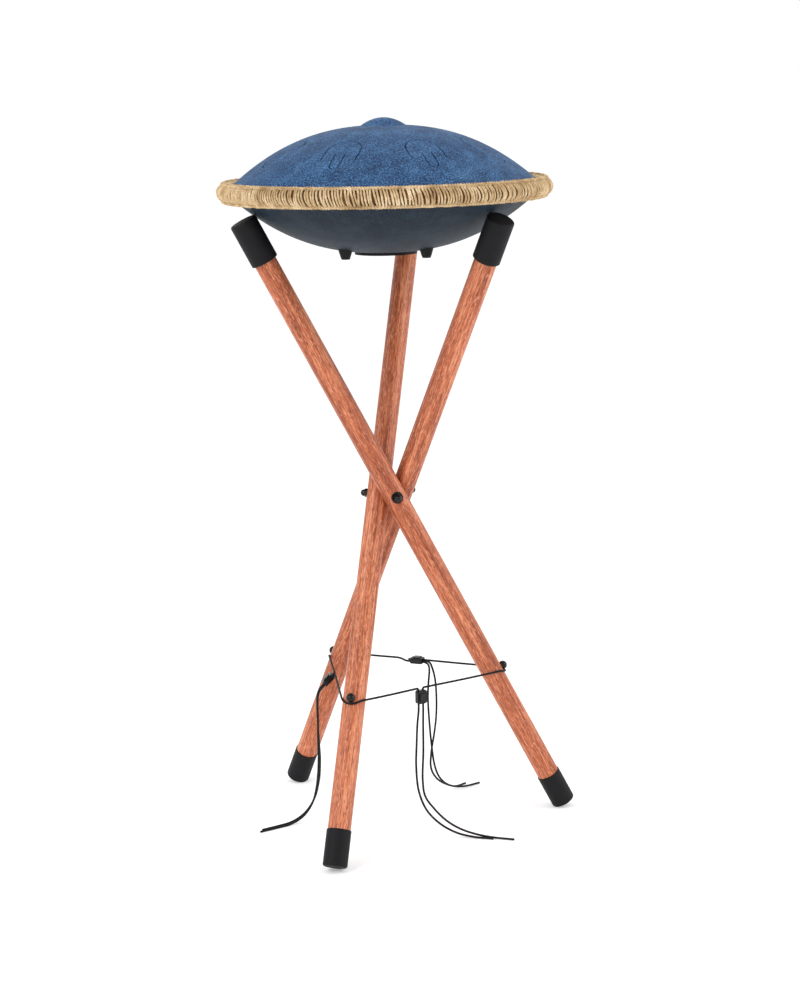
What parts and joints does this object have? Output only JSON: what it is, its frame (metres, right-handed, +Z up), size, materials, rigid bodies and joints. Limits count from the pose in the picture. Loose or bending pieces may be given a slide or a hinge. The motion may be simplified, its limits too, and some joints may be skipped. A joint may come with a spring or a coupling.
{
  "type": "steel tongue drum with folding stand",
  "caption": "Steel tongue drum with a rope-bound rim, resting on a folding wooden tripod stand held open by a tied cord.",
  "frame": {"origin": "on the floor under the stand's centre axis, where the three crossing studs meet above it", "axes": "+Z up; -Y along leg a's stud, towards the front; legs repeat every 120 degrees about Z"},
  "size_m": [0.4521, 0.4316, 0.9257],
  "materials": {
    "drum_paint": "hammered satin",
    "jute_rope": "twisted natural fibre",
    "black_rubber": "matte",
    "plated_steel": "plated",
    "wood": "oiled satin",
    "brass": "turned",
    "black_plastic": "gloss",
    "button_plastic": "gloss",
    "black_cord": "braided",
    "spring_steel": "drawn wire"
  },
  "bodies": {
    "hub": {"stud_spider": "plated_steel", "crossing_washers": "plated_steel", "acorn_nuts": "plated_steel"},
    "drum": {"top_shell": "drum_paint", "bottom_shell": "drum_paint", "rim_seal": "black_rubber", "rope_wrap": "jute_rope", "drum_feet": "black_rubber", "port_ring": "black_rubber"},
    "leg_a": {"leg_a": "wood", "bush_a": "brass", "top_cap_a": "black_rubber", "foot_cap_a": "black_rubber", "knob_a": "black_plastic", "cord_wrap_a": "black_cord"},
    "leg_b": {"leg_b": "wood", "bush_b": "brass", "top_cap_b": "black_rubber", "foot_cap_b": "black_rubber", "knob_b": "black_plastic", "cord_wrap_b": "black_cord"},
    "leg_c": {"leg_c": "wood", "bush_c": "brass", "top_cap_c": "black_rubber", "foot_cap_c": "black_rubber", "knob_c": "black_plastic", "cord_wrap_c": "black_cord"},
    "lock_front": {"lock_body_front": "black_plastic", "lock_spring_front": "spring_steel", "lock_cords_front": "black_cord", "front_tail_1": "black_cord", "front_tail_2": "black_cord"},
    "button_front": {"lock_button_front": "button_plastic"},
    "cord_ca": {"strand_ca": "black_cord"},
    "cord_ac": {"strand_ac": "black_cord"},
    "lock_back": {"lock_body_back": "black_plastic", "lock_spring_back": "spring_steel", "lock_cords_back": "black_cord", "back_tail_1": "black_cord", "back_tail_2": "black_cord"},
    "button_back": {"lock_button_back": "button_plastic"},
    "cord_ab": {"strand_ab": "black_cord"},
    "cord_ba": {"strand_ba": "black_cord"},
    "lock_left": {"lock_body_left": "black_plastic", "lock_spring_left": "spring_steel", "lock_cords_left": "black_cord", "left_tail_1": "black_cord", "left_tail_2": "black_cord"},
    "button_left": {"lock_button_left": "button_plastic"},
    "cord_bc": {"strand_bc": "black_cord"},
    "cord_cb": {"strand_cb": "black_cord"}
  },
  "joints": [
    {"name": "fold_a", "type": "hinge", "parent": "hub", "child": "leg_a", "pos_m": [0, -0.018, 0.44079], "axis": [0, 1, 0], "range_deg": [0, 25]},
    {"name": "fold_b", "type": "hinge", "parent": "hub", "child": "leg_b", "pos_m": [0.01559, 0.009, 0.44079], "axis": [-0.866, -0.5, 0], "range_deg": [0, 25.05]},
    {"name": "fold_c", "type": "hinge", "parent": "hub", "child": "leg_c", "pos_m": [-0.01559, 0.009, 0.44079], "axis": [0.866, -0.5, 0], "range_deg": [0, 25.05]},
    {"name": "drum_lift", "type": "slide", "parent": "hub", "child": "drum", "axis": [0, 0, 1], "range_m": [0, 0.262]},
    {"name": "lock_shift_front", "type": "slide", "parent": "hub", "child": "lock_front", "axis": [0.0223, 0.1707, -0.9851], "range_m": [0, 0.10792], "deforming": ["front_tail_1", "front_tail_2"]},
    {"name": "button_push_front", "type": "slide", "parent": "lock_front", "child": "button_front", "axis": [-0.3742, 0.9274, 0], "range_m": [0, 0.0014], "stiffness_N_per_m": 400, "springref_m": -0.001, "deforming": ["lock_spring_front"]},
    {"name": "swing_ca", "type": "hinge", "parent": "leg_c", "child": "cord_ca", "pos_m": [-0.07403, -0.11631, 0.1981], "axis": [-0.2277, 0.5477, -0.8051], "range_deg": [0, 100.24], "deforming": ["strand_ca"]},
    {"name": "swing_ac", "type": "hinge", "parent": "leg_a", "child": "cord_ac", "pos_m": [0.13307, -0.03261, 0.1985], "axis": [0.3167, -0.8069, 0.4986], "range_deg": [0, 106.33], "deforming": ["strand_ac"]},
    {"name": "lock_shift_back", "type": "slide", "parent": "hub", "child": "lock_back", "axis": [0.1373, -0.2924, -0.9464], "range_m": [0, 0.11095], "deforming": ["back_tail_1", "back_tail_2"]},
    {"name": "button_push_back", "type": "slide", "parent": "lock_back", "child": "button_back", "axis": [0, 0, -1], "range_m": [0, 0.0014], "stiffness_N_per_m": 400, "springref_m": -0.001, "deforming": ["lock_spring_back"]},
    {"name": "swing_ab", "type": "hinge", "parent": "leg_a", "child": "cord_ab", "pos_m": [0.13775, -0.00596, 0.1981], "axis": [-0.3485, -0.4439, -0.8255], "range_deg": [0, 102.77], "deforming": ["strand_ab"]},
    {"name": "swing_ba", "type": "hinge", "parent": "leg_b", "child": "cord_ba", "pos_m": [-0.03829, 0.13155, 0.1985], "axis": [0.5234, 0.6683, 0.5286], "range_deg": [0, 109.77], "deforming": ["strand_ba"]},
    {"name": "lock_shift_left", "type": "slide", "parent": "hub", "child": "lock_left", "axis": [0.1382, -0.1163, -0.9836], "range_m": [0, 0.10574], "deforming": ["left_tail_1", "left_tail_2"]},
    {"name": "button_push_left", "type": "slide", "parent": "lock_left", "child": "button_left", "axis": [0.7002, -0.0987, -0.7071], "range_m": [0, 0.0014], "stiffness_N_per_m": 400, "springref_m": -0.001, "deforming": ["lock_spring_left"]},
    {"name": "swing_bc", "type": "hinge", "parent": "leg_b", "child": "cord_bc", "pos_m": [-0.06371, 0.12227, 0.1981], "axis": [0.579, -0.0703, -0.8123], "range_deg": [0, 99.55], "deforming": ["strand_bc"]},
    {"name": "swing_cb", "type": "hinge", "parent": "leg_c", "child": "cord_cb", "pos_m": [-0.09478, -0.09894, 0.1985], "axis": [-0.8518, 0.1293, 0.5077], "range_deg": [0, 105.75], "deforming": ["strand_cb"]}
  ],
  "couplings": [
    {"joint": "fold_b", "follows": "fold_a", "ratio": 1},
    {"joint": "fold_c", "follows": "fold_a", "ratio": 1},
    {"joint": "drum_lift", "follows": "fold_a", "m_per_rad": 0.6},
    {"joint": "lock_shift_front", "follows": "fold_a", "m_per_rad": 0.24619},
    {"joint": "swing_ca", "follows": "fold_a", "ratio": 4.0018},
    {"joint": "swing_ac", "follows": "fold_a", "ratio": 4.2452},
    {"joint": "lock_shift_back", "follows": "fold_a", "m_per_rad": 0.25313},
    {"joint": "swing_ab", "follows": "fold_a", "ratio": 4.1027},
    {"joint": "swing_ba", "follows": "fold_a", "ratio": 4.3829},
    {"joint": "lock_shift_left", "follows": "fold_a", "m_per_rad": 0.24119},
    {"joint": "swing_bc", "follows": "fold_a", "ratio": 3.974},
    {"joint": "swing_cb", "follows": "fold_a", "ratio": 4.2222}
  ]
}
